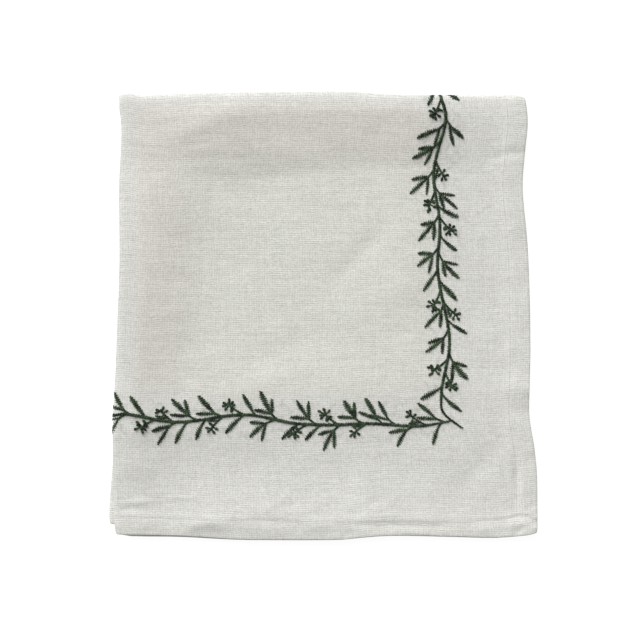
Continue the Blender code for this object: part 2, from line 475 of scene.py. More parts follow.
    @staticmethod
    def turn(place: Places, quarter_turn: float, radius: Places, outer: float) -> tuple[Places, Places]:
        """Bends lines of cloth back on themselves.

        Args:
            place: Distances from the crease line, above zero on the upper side.
            quarter_turn: Length of cloth in half of the crease.
            radius: Each line's radius in the crease.
            outer: The crease's outer radius.

        Returns:
            Distances from the crease's outside, and heights over its middle.
        """
        angle = np.clip(place / quarter_turn, -1, 1) * math.pi / 2
        beyond = np.maximum(np.abs(place) - quarter_turn, 0.0)
        return outer - radius * np.cos(angle) + beyond, radius * np.sin(angle)

    def from_edge(self, across: Places, along: Places) -> Places:
        """Distance of a point of the flat cloth from the nearest hemmed edge."""
        return np.minimum(self.half_width - np.abs(across), self.half_length - np.abs(along))

    def half_thickness(self, across: Places, along: Places, face: bool) -> Places:
        """Works out how far a side of the sheet lies from its middle.

        Args:
            across: Places across the flat cloth.
            along: Places along it.
            face: True for the right side, which the hem's turned plies lift softly.

        Returns:
            Distances from the sheet's middle.
        """
        inside = self.from_edge(across, along)
        slope, plies = (self.hem_end_face, self.hem_face) if face else (self.hem_end_back, self.hem_back)
        half = self.sheet / 2 + plies * smooth_step(self.hem + slope / 2, self.hem - slope / 2, inside)
        round_share = np.clip(inside / self.nose, 0.0, 1.0)
        return half * np.maximum(np.sqrt(1 - (1 - round_share) ** 2), self.nose_least)

    def loft(self, from_left: Places, up: Places) -> Places:
        """How much higher the top of the napkin lies than its plain layers.

        Args:
            from_left: Distances from the left crease.
            up: Distances up from the bottom edge.

        Returns:
            Heights to add.
        """
        total = np.hypot(self.left_roll.at(from_left, up), self.top_roll.at(self.length - up, from_left))
        total = total * self.relief_height
        start, end = self.hem + self.hem_slope / 2, self.hem - self.hem_slope / 2
        for from_hem in (self.width - from_left, up):
            total = total + self.hem_rise * smooth_step(start, end, from_hem)
        for swell in self.swells:
            share = np.hypot(from_left - swell.across, up - swell.up) / swell.radius
            total = total + swell.height * np.exp(-share * share)
        return total

    def relief(self, from_left: Places, up: Places) -> Places:
        """Wrinkles, the seams' grooves and their puckers on the face quarter.

        Args:
            from_left: Distances from the left crease.
            up: Distances up from the bottom edge.

        Returns:
            Heights to add.
        """
        total = np.zeros_like(from_left)
        for wrinkle in WRINKLES:
            total += wrinkle.at(from_left, up)
        for rough in self.field_unevenness:
            total += rough.at(from_left, up)
        seams = (
            (up - self.bottom_seam.at(from_left), from_left, self.bottom_draw),
            (self.width - from_left - self.hem, up, self.side_draw),
        )
        for beyond, place, seam in seams:
            total -= seam.at(beyond, place)
            gather = seam.gathered * np.exp(-((beyond / self.pucker_reach) ** 2))
            for rough in self.puckers:
                total += gather * rough.at(place + self.pucker_slant * beyond, beyond)
        return total * self.relief_height

    def drawn(self, from_left: Places, up: Places, behind: Places, below: Places) -> tuple[Places, Places]:
        """Draws points to the uneven outline of their own layers.

        Args:
            from_left: Distances from the left crease.
            up: Distances up from the bottom edge.
            behind: True for points behind the left crease.
            below: True for points below the top crease.

        Returns:
            Places across and up, from the corner of the straight outline.
        """
        share_across, share_up = from_left / self.width, up / self.length
        right_in, bottom = np.zeros_like(from_left), -self.bottom_edge.at(from_left)
        for (is_behind, is_below), quarter in self.quarters.items():
            here = (behind == is_behind) & (below == is_below)
            right_in += np.where(here, quarter.right, 0.0)
            bottom += np.where(here, quarter.bottom.at(from_left), 0.0)
        left = -self.left_edge.at(up) - np.where(below, self.lower_pair_shows.at(up), 0.0)
        right = self.width + self.right_edge.at(up) - right_in * (1 - share_up)
        top = self.length + self.top_edge.at(from_left)
        x = left + (right - left) * share_across
        y = bottom + (top - bottom) * share_up
        for pull in self.corner_pulls:
            near = np.exp(-np.hypot(from_left - pull.across, up - pull.up) / pull.radius)
            x = x + pull.pull_across * near
            y = y + pull.pull_up * near
        return x, y

    def lay(self, across: Places, along: Places, lift: Places) -> Places:
        """Folds points of the flat cloth and lays them in the frame.

        Args:
            across: Places across the flat cloth, from the left crease.
            along: Places along it, from the top crease.
            lift: Distances from the sheet's middle, towards its right side.

        Returns:
            Points in metres, one row each.
        """
        from_left, pair_lift = self.turn(across, self.left_quarter, self.left_turn + lift, self.left_outer)
        from_top, height = self.turn(-along, self.top_quarter, self.top_turn + pair_lift, self.top_outer)
        up = self.length - from_top
        height = height + self.stack / 2
        x, y = self.drawn(from_left, up, across < 0, along > 0)
        # Only the face quarter takes the wrinkles: they fade out round the creases.
        on_face = smooth_step(*self.wrinkled, height / self.stack)
        z = height + np.maximum(height, 0.0) / self.stack * self.loft(from_left, up)
        z = z + on_face * self.relief(from_left, up)
        x = x - self.centre[0] + self.middle[0]
        y = y - self.centre[1] + self.middle[1]
        return np.stack([x, y, z + self.clearance + self.floor], axis=1) * MM

    def settle(self, low: Sequence[float], high: Sequence[float]) -> None:
        """Puts the folded outline's middle over the frame's.

        Args:
            low: The frame box's lowest corner, in metres.
            high: Its highest corner.
        """
        grid = (np.linspace(-half, half, self.survey) for half in (self.half_width, self.half_length))
        across, along = (places.ravel() for places in np.meshgrid(*grid))
        spots = self.lay(across, along, np.zeros(across.size)) / MM
        self.centre = tuple((spots[:, i].min() + spots[:, i].max()) / 2 for i in range(2))
        self.middle = tuple((low[i] + high[i]) / 2 / MM for i in range(2))
        self.floor = low[2] / MM


def new_mesh(name: str, points: Places, faces: Sequence[Sequence[int]] | Places) -> Mesh:
    """Makes a smooth mesh.

    Args:
        name: The mesh's name.
        points: Its points, in metres.
        faces: The numbers of each face's points.

    Returns:
        The mesh.
    """
    mesh = bpy.data.meshes.new(name)
    mesh.from_pydata(points.tolist(), [], np.asarray(faces).tolist())
    mesh.shade_smooth()
    return mesh


def new_object(name: str, data: ID) -> Object:
    """Puts a new object in the scene, at the origin.

    Args:
        name: The object's name.
        data: Its mesh, light or camera.

    Returns:
        The object.
    """
    item = bpy.data.objects.new(name, data)
    bpy.context.scene.collection.objects.link(item)
    return item


def new_piece(mesh: Mesh) -> Object:
    """Shows a mesh as a piece of the napkin.

    Args:
        mesh: The piece's mesh, which also names it.

    Returns:
        The piece.
    """
    piece = new_object(mesh.name, mesh)
    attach(piece, "root")
    LOG.info("%s: %d triangles", mesh.name, sum(len(face.vertices) - 2 for face in mesh.polygons))
    return piece


# ---------------------------------------------------------------- finishes


def new_finish(name: str, settings: Mapping[str, Any]) -> tuple[Material, Node]:
    """Starts a material.

    Args:
        name: The finish's name.
        settings: The shader's own inputs that are the same all over.

    Returns:
        The material and its shader node.
    """
    material = bpy.data.materials.new(name)
    material.use_nodes = True
    shader = material.node_tree.nodes["Principled BSDF"]
    for key, value in settings.items():
        shader.inputs[key].default_value = value
    return material, shader


class Grain(NamedTuple):
    """One scale of a cloth's random unevenness."""

    across: float  # mm
    up: float
    weight: float
    detail: float


class Fade(NamedTuple):
    """How a tone sets in: it goes from none to full between two distances from a crease."""

    crease: int  # 0 for the left one, and 1 for the top one
    none: float  # mm
    full: float


@dataclass(frozen=True)
class WashedLinen:
    """Washed plain-weave linen: uneven flax threads, matt, with pores where they cross."""

    thread: str = "#F4F4F0"
    pore: str = "#AAA8A0"
    creamy: str = "#FEFFFC"  # over the field, a little creamier than the strips along the creases and the hems
    painted_shade_tint: str = "#FFFCFC"  # and beside the folds, on the field: painted shade, a rosier tint where the folds' shade falls
    grey: str = "#8D9089"  # of embroidery threads carried behind the cloth, which its pores let through
    # Real linen of this weight has 0.6 to 0.8 mm between threads, which is too fine to show from arm's
    # length. It is drawn about twice as coarse.
    warp_pitch: float = 1.38  # mm across
    weft_pitch: float = 1.14  # mm along
    warp_weight: float = 0.17
    weft_weight: float = 0.38
    unevenness: float = 2.2  # how much the rows of threads wave
    wander: float = 0.5  # mm: how far the threads stray
    stray: float = 9.0  # mm: from one stray to the next
    patch: float = 7.0  # mm: size of the places where one set of threads shows more than the other
    sunk: float = 0.3  # how much the other set still shows there, as a share
    grains: tuple[Grain, ...] = (
        Grain(24.0, 1.1, 0.26, 1.0),  # slubs, the thick places of the weft's flax threads
        Grain(1.2, 24.0, 0.12, 1.0),  # and of the warp's
        Grain(4.5, 0.9, 0.22, 1.0),
        Grain(1.0, 4.5, 0.11, 1.0),
        Grain(0.8, 0.8, 0.42, 0.0),  # pores
        Grain(5.0, 4.0, 0.10, 1.0),  # creping from the wash
        Grain(60.0, 45.0, 0.10, 1.0),
    )
    bump: float = 0.35
    relief: float = 0.12  # mm: how far the threads stand out
    field_sides: tuple[Fade, ...] = (  # where the creamier tone ends
        Fade(0, 5.0, 16.0), Fade(0, 180.0, 160.0), Fade(1, 2.0, 12.0), Fade(1, 172.0, 150.0),
    )
    painted_shade_sides: tuple[Fade, Fade] = (Fade(0, 60.0, 20.0), Fade(1, 60.0, 20.0))  # where the rosier painted shade sets in
    carried: tuple[float, float] = (15.0, 7.0)  # mm from the border's lines, from none to all
    carried_past: float = 6.0  # mm beyond the border's corner
    carried_speck: float = 3.2  # mm
    carried_most: float = 0.30

    def build(self, border: Sequence[float]) -> Material:
        """Makes the material. Its patterns read the flat cloth's own map, in metres.

        Args:
            border: How far the border's lines lie from the two creases, in millimetres, across and along.

        Returns:
            The material.
        """
        fuzz = {"Sheen Weight": 0.08, "Sheen Roughness": 0.5}
        material, shader = new_finish("washed_linen", {"Roughness": 0.92, "Specular IOR Level": 0.2, **fuzz})
        links = material.node_tree.links
        add = partial(add_node, material.node_tree)
        flat = add("ShaderNodeUVMap", uv_map=FLAT_MAP)
        place = add("ShaderNodeVectorMath", {0: flat, "Scale": 1 / MM}, operation="SCALE")
        noise = add(NOISE, {"Vector": place, "Scale": 1 / self.stray, "Detail": 1.0})
        strays = {0: noise.outputs["Color"], 1: (2 * self.wander,) * 3, 2: place}
        woven = self.weave(add, add("ShaderNodeVectorMath", strays, operation="MULTIPLY_ADD"))
        yarn = add(MIX, {"Factor": woven, 6: srgb(self.pore), 7: srgb(self.thread)}, data_type="RGBA")
        specks = self.carried_threads(add, place, border)
        shown = add(MIX, {"Factor": specks, 6: yarn.outputs[2], 7: srgb(self.grey)}, data_type="RGBA")
        # The second tint is painted shade: a rosier tone on the field beside the folds, where their shade
        # falls.
        for share, tint in zip(self.field_and_painted_shade_places(add, place), (self.creamy, self.painted_shade_tint)):
            tinted = {"Factor": share, 6: shown.outputs[2], 7: srgb(tint)}
            shown = add(MIX, tinted, data_type="RGBA", blend_type="MULTIPLY")
        links.new(shown.outputs[2], shader.inputs["Base Color"])
        stand = {"Strength": self.bump, "Distance": self.relief * MM, "Height": woven}
        bump = add("ShaderNodeBump", stand)
        links.new(bump.outputs["Normal"], shader.inputs["Normal"])
        return material

    def field_and_painted_shade_places(self, add: NodeAdder, place: Node) -> tuple[Node, ...]:
        """Where the field's tone is a little creamier, and where a rosier painted shade lies beside the
        folds.

        Args:
            add: Adds a node to the material's tree.
            place: Places on the flat cloth, in millimetres.

        Returns:
            Shares from 0 to 1: over the field, and on it beside the folds, where the shade is painted.
        """
        apart = add("ShaderNodeVectorMath", {0: place}, operation="ABSOLUTE")
        gaps = add("ShaderNodeSeparateXYZ", {0: apart}).outputs
        fades = [
            add(RANGE, {0: gaps[crease], 1: none, 2: full}, interpolation_type="SMOOTHSTEP")
            for crease, none, full in (*self.painted_shade_sides, *self.field_sides)
        ]
        # Near either crease: where the folds' shade is painted.
        beside = add(MATH, {0: fades[0], 1: fades[1]}, operation="MAXIMUM")
        on_field = fades[2]
        for fade in fades[3:]:
            on_field = add(MATH, {0: on_field, 1: fade}, operation="MULTIPLY")
        return on_field, add(MATH, {0: on_field, 1: beside}, operation="MULTIPLY")

    def weave(self, add: NodeAdder, place: Node) -> Node:
        """Crosses the threads and makes them uneven.

        Args:
            add: Adds a node to the material's tree.
            place: Places on the flat cloth, in millimetres.

        Returns:
            About 0 in the pores and 1 on the thick threads.
        """
        total: Any = 0.5
        for grain in self.grains:
            scale = (1 / grain.across, 1 / grain.up, 1.0)
            stretched = add("ShaderNodeVectorMath", {0: place, 1: scale}, operation="MULTIPLY")
            noise = add(NOISE, {"Vector": stretched, "Scale": 1.0, "Detail": grain.detail})
            level = add(MATH, {0: noise, 1: 0.5}, operation="SUBTRACT")
            total = add(MATH, {0: level, 1: grain.weight, 2: total}, operation="MULTIPLY_ADD")
        patches = add(NOISE, {"Vector": place, "Scale": 1 / self.patch, "Detail": 1.0})
        sets = (
            ("Y", self.weft_pitch, self.weft_weight, (self.sunk, 1.0)),
            ("X", self.warp_pitch, self.warp_weight, (1.0, self.sunk)),
        )
        for direction, pitch, weight, (low, high) in sets:
            # A wave texture's own period is a twentieth of a turn.
            rows = {"Scale": 2 * math.pi / 20 / pitch, "Distortion": self.unevenness, "Detail": 1.0}
            wave = add("ShaderNodeTexWave", {"Vector": place, **rows}, bands_direction=direction)
            level = add(MATH, {0: wave.outputs["Fac"], 1: 0.5}, operation="SUBTRACT")
            share = add(RANGE, {0: patches, **NOISE_SPREAD, 3: low, 4: high})
            scaled = add(MATH, {0: share, 1: weight}, operation="MULTIPLY")
            total = add(MATH, {0: level, 1: scaled, 2: total}, operation="MULTIPLY_ADD")
        return total

    def carried_threads(self, add: NodeAdder, place: Node, border: Sequence[float]) -> Node:
        """How much grey shows through: a little, in specks along the border's lines.

        Args:
            add: Adds a node to the material's tree.
            place: Places on the flat cloth, in millimetres.
            border: How far the lines lie from the two creases, across and along.

        Returns:
            Shares from 0 to the most that shows.
        """
        parts = add("ShaderNodeSeparateXYZ", {0: place})
        gaps = []
        for output, line in zip(parts.outputs, border):
            far = add(MATH, {0: output}, operation="ABSOLUTE")
            beyond = add(MATH, {0: far, 1: line}, operation="SUBTRACT")
            gaps.append((add(MATH, {0: beyond}, operation="ABSOLUTE"), beyond))
        specks = add(NOISE, {"Vector": place, "Scale": 1 / self.carried_speck, "Detail": 3.0})
        speck = add(RANGE, {0: specks, 1: 0.5, 2: 0.68})  # only the noise's higher places
        none, full = self.carried
        total: Any = 0.0
        for (gap, _), (_, past) in zip(gaps, reversed(gaps)):
            near = add(RANGE, {0: gap, 1: none, 2: full}, interpolation_type="SMOOTHSTEP")
            inside = add(MATH, {0: past, 1: self.carried_past}, operation="LESS_THAN")
            band = add(MATH, {0: near, 1: inside}, operation="MULTIPLY")
            total = add(MATH, {0: total, 1: band}, operation="MAXIMUM")
        shown = add(MATH, {0: total, 1: speck}, operation="MULTIPLY")
        return add(MATH, {0: shown, 1: self.carried_most}, operation="MULTIPLY")


@dataclass(frozen=True)
class LaidThread:
    """Spun thread laid in stitches: each stitch has its own tone, and a soft sheen along it."""

    name: str
    # the dark colour also carries the painted shade of the lower stitches
    dark: str
    light: str
    roughness: float
    sheen: float
    specular: float = 0.18  # low, because the threads' fibres scatter the light

    def build(self) -> Material:
        """Makes the material. Each stitch carries its own tone.

        Returns:
            The material.
        """
        gloss = {"Specular IOR Level": self.specular, "Sheen Weight": self.sheen, "Sheen Roughness": 0.4}
        material, shader = new_finish(self.name, {"Roughness": self.roughness, **gloss})
        tree = material.node_tree
        tone = add_node(tree, "ShaderNodeAttribute", attribute_name="tone")
        dyes = {"Factor": tone.outputs["Fac"], 6: srgb(self.dark), 7: srgb(self.light)}
        colour = add_node(tree, MIX, dyes, data_type="RGBA")
        tree.links.new(colour.outputs[2], shader.inputs["Base Color"])
        return material


# Stranded cotton has a soft lustre, and sewing thread is dull.
EMBROIDERY_FLOSS = LaidThread("embroidery_floss", "#07100A", "#4A5E44", 0.6, 0.05)
SEWING_THREAD = LaidThread("sewing_thread", "#CFCEC6", "#DFDED7", 0.85, 0.0)


# ---------------------------------------------------------------- cloth


@dataclass
class LinenCloth:
    """The one hemmed sheet of linen, as a closed thin mesh that is fine on its face quarter."""

    shape: FoldedShape
    fine: float = 2.0  # spacing of the mesh's lines in the field of the face quarter
    hem_fine: float = 0.85  # and near its hems
    hem_zone: float = 26.0
    coarse: float = 7.0  # and where the cloth is hidden or lies underneath
    turn_cells: int = 10
    edge_steps: tuple[float, ...] = (0.0, 0.06, 0.2, 0.5, 1.0)  # from the hemmed edge, round its bull nose
    coarse_steps: tuple[float, ...] = (0.0, 0.06, 0.2, 0.5, 1.2, 4.0, 8.0, 11.2, 11.65, 12.35, 13.2)

    def lines(self, half: float, quarter_turn: float, positive_fine: bool) -> Places:
        """Spaces the mesh's lines over the flat cloth in one direction.

        Args:
            half: Distance from the crease line to the hemmed edge.
            quarter_turn: Length of cloth in half of the crease.
            positive_fine: True if the side above zero is the one that shows.

        Returns:
            Places in rising order.
        """
        hem_start = half - self.hem_zone
        plain = self.spaced(quarter_turn, hem_start, self.fine)
        hem = self.spaced(hem_start, half - self.edge_steps[-1], self.hem_fine)
        fine = np.concatenate([plain, hem, half - np.array(self.edge_steps[-2::-1])])
        hidden = self.spaced(quarter_turn, half - self.coarse_steps[-1], self.coarse)
        coarse = np.concatenate([hidden, half - np.array(self.coarse_steps[-2::-1])])
        turn = np.linspace(-quarter_turn, quarter_turn, self.turn_cells + 1)
        if positive_fine:
            return np.concatenate([-coarse[::-1], turn, fine])
        return np.concatenate([-fine[::-1], turn, coarse])

    @staticmethod
    def spaced(start: float, end: float, step: float) -> Places:
        """Even places after start, up to end, about a step apart."""
        return np.linspace(start, end, max(int(round((end - start) / step)), 1) + 1)[1:]

    def build(self) -> Mesh:
        """Makes the folded sheet with its map of the flat cloth.

        Returns:
            Its mesh.
        """
        shape = self.shape
        columns = self.lines(shape.half_width, shape.left_quarter, True)
        rows = self.lines(shape.half_length, shape.top_quarter, False)
        across, along = (grid.ravel() for grid in np.meshgrid(columns, rows))
        sides = [
            shape.lay(across, along, sign * shape.half_thickness(across, along, sign > 0)) for sign in (1, -1)
        ]
        mesh = new_mesh("linen_cloth", np.concatenate(sides), self.faces(len(columns), len(rows)))
        flat = mesh.uv_layers.new(name=FLAT_MAP)
        corner = np.empty(len(mesh.loops), dtype=int)
        mesh.loops.foreach_get("vertex_index", corner)
        corner %= len(across)
        flat.data.foreach_set("uv", (np.stack([across[corner], along[corner]], axis=1) * MM).ravel())
        return mesh

    @staticmethod
    def faces(columns: int, rows: int) -> list[list[int]]:
        """Joins the grid's right side, its wrong side and the rim between them.

        Args:
            columns: How many points lie across the grid.
            rows: How many lie along it.

        Returns:
            The numbers of each face's points.
        """
        at = np.arange(columns * rows).reshape(rows, columns)
        back = columns * rows
        right_side = np.stack([at[:-1, :-1], at[:-1, 1:], at[1:, 1:], at[1:, :-1]], axis=-1).reshape(-1, 4)
        rim = []
        for edge in (at[0, :], at[:, -1], at[-1, ::-1], at[::-1, 0]):
            rim.append(np.stack([edge[:-1] + back, edge[1:] + back, edge[1:], edge[:-1]], axis=-1))
        return np.concatenate([right_side, right_side[:, ::-1] + back, *rim]).tolist()

    def make(self, finish: Material) -> Object:
        """Shows the cloth in place of the frame's solid.

        Args:
            finish: The linen's material.

        Returns:
            The cloth's piece.
        """
        mesh = self.build()
        mesh.materials.append(finish)
        piece = new_piece(mesh)
        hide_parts("napkin")
        return piece


# ---------------------------------------------------------------- threads


class StitchLie(NamedTuple):
    """How the stitches of a line lie."""

    turn: float  # degrees between the line and its stitches
    spacing: float = 1.0  # from one to the next, as a share of the thread's usual
    rise: float = 1.0  # how high they stand, likewise
    notch: float = 0.1  # how much shorter every other stitch is, as a share


@dataclass
class ThreadGuides:
    """Lines on the flat cloth for stitches to follow, in millimetres, with how the stitches lie on each."""

    thread_width: float
    least_width: float = 0.1
    lines: list[Places] = field(default_factory=list)
    facts: dict[str, list[Places]] = field(default_factory=dict)

    def add(self, line: Places, width: Places | float, lie: StitchLie) -> None:
        """Adds a line.

        Args:
            line: Its points on the flat cloth.
            width: How wide the stitched line is, at each point or all along.
            lie: How its stitches lie.
        """
        self.lines.append(np.asarray(line, dtype=float))
        spread = np.maximum(np.asarray(width, dtype=float) - self.thread_width / 2, self.least_width) / 2
        values = {
            "reach": spread / math.sin(math.radians(lie.turn)) * MM,
            "turn": math.radians(lie.turn),
            "spacing": lie.spacing,
            "rise": lie.rise,
            "notch": lie.notch,
        }
        for fact, value in values.items():
            self.facts.setdefault(fact, []).append(np.broadcast_to(value, (len(line),)))

    def as_object(self, name: str) -> Object:
        """Makes a mesh of the lines, in metres, with the stitches' facts as attributes.

        Args:
            name: The new object's name.

        Returns:
            The object.
        """
        points = np.concatenate(self.lines) * MM
        starts = np.cumsum([0, *(len(line) for line in self.lines)])
        edges = [(i, i + 1) for a, b in zip(starts, starts[1:]) for i in range(a, b - 1)]
        mesh = bpy.data.meshes.new(name)
        mesh.from_pydata(np.pad(points, ((0, 0), (0, 1))).tolist(), edges, [])
        for fact, values in self.facts.items():
            attribute = mesh.attributes.new(fact, "FLOAT", "POINT")
            attribute.data.foreach_set("value", np.concatenate(values).astype(np.float32))
        return new_object(name, mesh)


@dataclass(frozen=True)
class ThreadSizes:
    """How a kind of thread is laid, in millimetres."""

    pitch: float  # from one stitch to the next
    width: float  # of the thread
    arch: float  # how high a stitch stands over the cloth
    raggedness: float  # how uneven the stitches' lengths are, as a share
    seed: int


@dataclass
class LaidThreads:
    """The Geometry Nodes tree that lays one stitch after another along guide lines."""

    tree: NodeTree = field(init=False)
    add: NodeAdder = field(init=False)
    arch_points: int = 5
    thread_sides: int = 4
    lower: float = 0.35  # how much lower every other stitch lies, as a share
    shaded: float = 0.40  # and how much darker it is: painted shade, standing in for its neighbours' shadows
    varied: float = 0.25  # how much one stitch's tone differs from another's
    dye_scale: float = 420.0  # the floss is dyed unevenly, in places about 2 mm wide
    dye: tuple[float, float] = (-0.12, 0.52)  # what the dye adds to the tone, at least and at most
    pressed: float = 0.65  # how much lower the stitches lie on a fold, as a share
    pressed_reach: float = 5.0  # mm

    def __post_init__(self) -> None:
        """Builds the tree."""
        self.tree = bpy.data.node_groups.new("laid_threads", "GeometryNodeTree")
        self.add = add = partial(add_node, self.tree)
        kinds = {
            "Guides": "Geometry", "Pitch": "Float", "Thread Width": "Float", "Arch": "Float",
            "Raggedness": "Float", "Seed": "Int", "Finish": "Material",
        }
        for name, kind in kinds.items():
            self.tree.interface.new_socket(name, in_out="INPUT", socket_type="NodeSocket" + kind)
        self.tree.interface.new_socket("Threads", in_out="OUTPUT", socket_type="NodeSocketGeometry")
        given = add("NodeGroupInput").outputs
        lines = add("GeometryNodeMeshToCurve", {"Mesh": given["Guides"]})
        step = add(MATH, {0: self.fact("spacing"), 1: given["Pitch"]}, operation="MULTIPLY")
        spots = add("GeometryNodeResampleCurve", {"Curve": lines, "Length": step}, mode="LENGTH")
        odd = add(MATH, {0: add("GeometryNodeInputIndex"), 1: 2.0}, operation="MODULO")
        stitch = {"Instance": self.one_stitch(given), "Rotation": self.lie(), "Scale": self.size(given, odd)}
        laid = add("GeometryNodeInstanceOnPoints", {"Points": spots, **stitch})
        stored = {"Geometry": laid, "Name": "tone", "Value": self.tone(given, odd)}
        toned = add("GeometryNodeStoreNamedAttribute", stored, data_type="FLOAT", domain="INSTANCE")
        real = add("GeometryNodeRealizeInstances", {"Geometry": toned})
        dressed = add("GeometryNodeSetMaterial", {"Geometry": real, "Material": given["Finish"]})
        add("NodeGroupOutput", {"Threads": dressed})

    def fact(self, name: str) -> Node:
        """One of the guides' facts about their stitches."""
        return self.add("GeometryNodeInputNamedAttribute", {"Name": name}, data_type="FLOAT")

    def tone(self, given: Any, odd: Node) -> Node:
        """Gives each stitch its tone, with painted shade on every other one.

        Args:
            given: The tree's inputs.
            odd: 1 for every other stitch, and 0 for the rest.

        Returns:
            Shares from the floss's dark colour to its light one, the dark end partly painted shade.
        """
        add = self.add
        chance = add("FunctionNodeRandomValue", {"Seed": given["Seed"]}, data_type="FLOAT").outputs[1]
        # Painted shade: every other stitch, the lower one, is darker, as if in its neighbours' shadow.
        tone = add(MATH, {0: odd, 1: -self.shaded, 2: self.shaded}, operation="MULTIPLY_ADD")
        tone = add(MATH, {0: chance, 1: self.varied, 2: tone}, operation="MULTIPLY_ADD")
        dye = add(NOISE, {"Scale": self.dye_scale, "Detail": 0.0})
        dye = add(RANGE, {0: dye, **NOISE_SPREAD, 3: self.dye[0], 4: self.dye[1]})
        return add(MATH, {0: tone, 1: dye}, operation="ADD")

    def one_stitch(self, given: Any) -> Node:
        """Makes a thread from -1 to 1 across, arched over the cloth and thinner where its ends go in.

        Args:
            given: The tree's inputs.

        Returns:
            The node that gives it.
        """
        add = self.add
        line = add("GeometryNodeCurvePrimitiveLine", {"Start": (-1, 0, 0), "End": (1, 0, 0)})
        line = add("GeometryNodeResampleCurve", {"Curve": line, "Count": self.arch_points}, mode="COUNT")
        x = add("ShaderNodeSeparateXYZ", {0: add("GeometryNodeInputPosition")})
        square = add(MATH, {0: x, 1: x}, operation="MULTIPLY")
        crown = add(MATH, {0: 1.0, 1: square}, operation="SUBTRACT")
        plump = add(MATH, {0: crown, 1: 0.6}, operation="POWER")
        height = add(MATH, {0: plump, 1: given["Arch"]}, operation="MULTIPLY")
        rise = add("ShaderNodeCombineXYZ", {"Z": height})
        arched = add("GeometryNodeSetPosition", {"Geometry": line, "Offset": rise})
        radius = add(MATH, {0: given["Thread Width"], 1: 0.5}, operation="MULTIPLY")
        sides = {"Resolution": self.thread_sides, "Radius": radius}
        profile = add("GeometryNodeCurvePrimitiveCircle", sides).outputs["Curve"]
        taper = add(MATH, {0: crown, 1: 0.5, 2: 0.5}, operation="MULTIPLY_ADD")
        swept = {"Curve": arched, "Profile Curve": profile, "Scale": taper, "Fill Caps": True}
        return add("GeometryNodeSetShadeSmooth", {"Geometry": add("GeometryNodeCurveToMesh", swept)})

    def lie(self) -> Node:
        """Turns each stitch along its guide, and then across it.

        Returns:
            The node that gives its rotation.
        """
        tangent = {"Vector": self.add("GeometryNodeInputTangent")}
        along = self.add("FunctionNodeAlignRotationToVector", tangent, axis="X", pivot_axis="Z")
        turn = {"Axis": (0, 0, 1), "Angle": self.fact("turn")}
        both = {"Rotation": along, "Rotate By": self.add("FunctionNodeAxisAngleToRotation", turn)}
        return self.add("FunctionNodeRotateRotation", both, rotation_space="LOCAL")

    def size(self, given: Any, odd: Node) -> Node:
        """Makes every other stitch shorter and lower, and all of them a little ragged.

        Args:
            given: The tree's inputs.
            odd: 1 for every other stitch, and 0 for the rest.

        Returns:
            The node that gives each stitch's scale.
        """
        add, ragged = self.add, given["Raggedness"]
        shorter = add(MATH, {0: odd, 1: self.fact("notch")}, operation="MULTIPLY")
        share = add(MATH, {0: 1.0, 1: shorter}, operation="SUBTRACT")
        least = add(MATH, {0: ragged, 1: -1.0}, operation="MULTIPLY")
        spread = {2: least, 3: ragged, "Seed": given["Seed"]}
        spread = add("FunctionNodeRandomValue", spread, data_type="FLOAT").outputs[1]
        share = add(MATH, {0: share, 1: spread}, operation="ADD")
        length = add(MATH, {0: share, 1: self.fact("reach")}, operation="MULTIPLY")
        rise = add(MATH, {0: odd, 1: -self.lower, 2: 1.0}, operation="MULTIPLY_ADD")
        rise = add(MATH, {0: rise, 1: self.fact("rise")}, operation="MULTIPLY")
        return add("ShaderNodeCombineXYZ", {"X": length, "Y": 1.0, "Z": rise})

    def lay(
        self, name: str, guides: ThreadGuides, shape: FoldedShape, sizes: ThreadSizes, finish: Material
    ) -> Mesh:
        """Lays stitches on the flat cloth and folds them with it.

        Args:
            name: The new mesh's name.
            guides: The lines that they follow.
            shape: The napkin's folded shape.
            sizes: How the thread is laid.
            finish: Its material.

        Returns:
            The stitches as one mesh, in the frame.
        """
        guide = guides.as_object(name + "_guides")
        modifier = guide.modifiers.new("laid_threads", "NODES")
        modifier.node_group = self.tree
        inputs = {
            "Pitch": sizes.pitch * MM, "Thread Width": sizes.width * MM, "Arch": sizes.arch * MM,
            "Raggedness": sizes.raggedness, "Seed": sizes.seed, "Finish": finish,
        }
        for item in self.tree.interface.items_tree:
            if item.name in inputs:
                modifier[item.identifier] = inputs[item.name]
        evaluated = guide.evaluated_get(bpy.context.evaluated_depsgraph_get())
        mesh = bpy.data.meshes.new_from_object(evaluated)
        mesh.name = name
        guide.modifiers.remove(modifier)
        bpy.data.objects.remove(guide)
        flat = np.empty(len(mesh.vertices) * 3, dtype=np.float32)
        mesh.vertices.foreach_get("co", flat)
        across, along, lift = flat.reshape(-1, 3).astype(float).T / MM
        for from_crease in (across, along):
            lift = lift * (1 - self.pressed * np.exp(-((from_crease / self.pressed_reach) ** 2)))
        folded = shape.lay(across, along, shape.half_thickness(across, along, True) + lift)
        mesh.vertices.foreach_set("co", folded.astype(np.float32).ravel())
        mesh.update()
        return mesh


# ---------------------------------------------------------------- embroidery


class SprigKind(Enum):
    """What grows from the border's stem."""

    FAN = "a fan of leaves on a branchlet"
    PAIR = "two leaves on a branchlet"
    LEAF = "one leaf on the stem"
    BERRIES = "an open cluster of berries on a branchlet"
    BUDS = "a small close cluster of berries with a leaf below it"


class LeafSpot(NamedTuple):
    """A leaf on a branchlet."""

    share: float  # how far along the branchlet it starts
    turn: float  # degrees from the branchlet's own direction, above zero away from the stem
    length: float
    breadth: float


class BerrySpot(NamedTuple):
    """A berry on a short stalk from a branchlet."""

    share: float
    turn: float
    stalk: float


class Sprig(NamedTuple):
    """A branchlet with its leaves and berries."""

    branchlet: float  # its length
    lean: float  # degrees from the stem, where it leaves
    bow: float  # degrees that it bows outwards
    leaves: tuple[LeafSpot, ...] = ()
    berries: tuple[BerrySpot, ...] = ()


